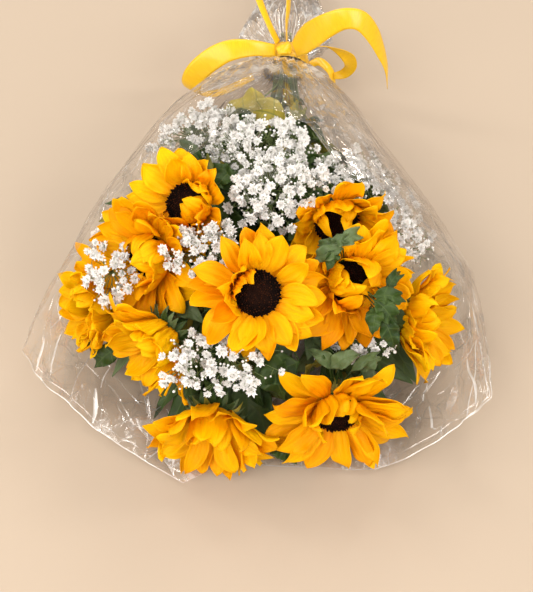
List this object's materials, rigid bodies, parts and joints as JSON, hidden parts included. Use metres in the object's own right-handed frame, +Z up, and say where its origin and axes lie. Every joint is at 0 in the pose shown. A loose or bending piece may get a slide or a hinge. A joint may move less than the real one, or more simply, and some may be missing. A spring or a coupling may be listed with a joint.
{
  "type": "bouquet",
  "caption": "Tied bouquet of sunflowers with white baby's breath and leaves, lying down in a clear gathered film wrap with a yellow satin ribbon.",
  "frame": {"origin": "on the film's flat underside, below the middle of the bunch", "axes": "+Z up from the surface it lies on, +Y back along the stems to the tie, so the heads face forward along -Y and up, and +X to the right of someone who looks at the heads"},
  "size_m": [0.4722, 0.6666, 0.2393],
  "materials": {
    "ray_yellow": "soft matt petal, golden yellow, a little orange towards the root",
    "disc_brown": "dry matt dark brown florets",
    "leaf_green": "matt to slightly waxy dark green",
    "floret_white": "thin matt white petals with fine green stalks",
    "clear_film": "clear glossy crinkled film",
    "satin_yellow": "glossy satin weave",
    "binding_buff": "matt twine"
  },
  "bodies": {
    "root": {"centre_rays": "ray_yellow", "centre_disc": "disc_brown", "centre_stem": "leaf_green", "front_right_rays": "ray_yellow", "front_right_disc": "disc_brown", "front_right_stem": "leaf_green", "front_left_rays": "ray_yellow", "front_left_disc": "disc_brown", "front_left_stem": "leaf_green", "upper_right_rays": "ray_yellow", "upper_right_disc": "disc_brown", "upper_right_stem": "leaf_green", "far_right_rays": "ray_yellow", "far_right_disc": "disc_brown", "far_right_stem": "leaf_green", "lower_left_rays": "ray_yellow", "lower_left_disc": "disc_brown", "lower_left_stem": "leaf_green", "middle_left_rays": "ray_yellow", "middle_left_disc": "disc_brown", "middle_left_stem": "leaf_green", "far_left_rays": "ray_yellow", "far_left_disc": "disc_brown", "far_left_stem": "leaf_green", "top_left_rays": "ray_yellow", "top_left_disc": "disc_brown", "top_left_stem": "leaf_green", "top_right_rays": "ray_yellow", "top_right_disc": "disc_brown", "top_right_stem": "leaf_green", "spray_veiled_left": "floret_white", "spray_middle_top": "floret_white", "spray_middle_low": "floret_white", "spray_left_inner": "floret_white", "spray_left_outer": "floret_white", "spray_front": "floret_white", "spray_veiled_right": "floret_white", "spray_right_outer": "floret_white", "spray_right_low": "floret_white", "film_wrap": "clear_film", "stem_binding": "binding_buff", "ribbon_tie": "satin_yellow", "ribbon_big_curl": "satin_yellow", "ribbon_left_loop": "satin_yellow", "ribbon_small_curl": "satin_yellow", "ribbon_up_tail": "satin_yellow", "ribbon_back_tail": "satin_yellow", "ribbon_side_tail": "satin_yellow"}
  },
  "joints": []
}
